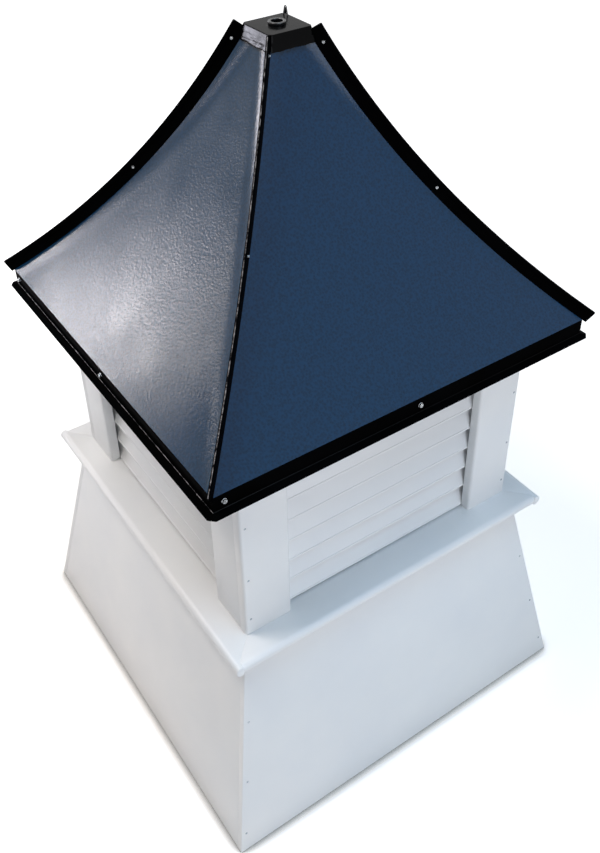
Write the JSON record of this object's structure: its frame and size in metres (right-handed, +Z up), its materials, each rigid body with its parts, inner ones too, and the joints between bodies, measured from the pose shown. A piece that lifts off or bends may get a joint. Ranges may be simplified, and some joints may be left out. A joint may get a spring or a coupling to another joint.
{
  "type": "roof cupola",
  "caption": "Square roof cupola: flared skirt, ledge, louvred box with corner posts and a concave sheet-metal roof with standing hip ribs, eave trims, a cap and a vane socket.",
  "frame": {"origin": "middle of the base, at the level it stands on", "axes": "+Z up, the front faces -Y and the left side faces -X"},
  "size_m": [0.762, 0.7874, 1.3252],
  "materials": {
    "white_pvc": "satin white foamed PVC board",
    "roof_sheet": "semi-gloss black paint on stucco-embossed aluminium sheet",
    "black_trim": "smooth semi-gloss black paint on folded aluminium",
    "socket": "gloss black turned collar",
    "wire": "black coated wire"
  },
  "bodies": {
    "root": {"skirt_front": "white_pvc", "ledge_front": "white_pvc", "louvre_slats_front": "white_pvc", "louvre_stiles_front": "white_pvc", "soffit_front": "white_pvc", "roof_front": "roof_sheet", "eave_front": "black_trim", "skirt_right": "white_pvc", "ledge_right": "white_pvc", "louvre_slats_right": "white_pvc", "louvre_stiles_right": "white_pvc", "soffit_right": "white_pvc", "roof_right": "roof_sheet", "eave_right": "black_trim", "skirt_back": "white_pvc", "ledge_back": "white_pvc", "louvre_slats_back": "white_pvc", "louvre_stiles_back": "white_pvc", "soffit_back": "white_pvc", "roof_back": "roof_sheet", "eave_back": "black_trim", "skirt_left": "white_pvc", "ledge_left": "white_pvc", "louvre_slats_left": "white_pvc", "louvre_stiles_left": "white_pvc", "soffit_left": "white_pvc", "roof_left": "roof_sheet", "eave_left": "black_trim", "post_front_left": "white_pvc", "post_return_front_left": "white_pvc", "hip_rib_front_left": "black_trim", "post_front_right": "white_pvc", "post_return_front_right": "white_pvc", "hip_rib_front_right": "black_trim", "post_back_right": "white_pvc", "post_return_back_right": "white_pvc", "hip_rib_back_right": "black_trim", "post_back_left": "white_pvc", "post_return_back_left": "white_pvc", "hip_rib_back_left": "black_trim", "top_cap": "black_trim", "vane_socket": "socket", "wire_loop": "wire"}
  },
  "joints": []
}
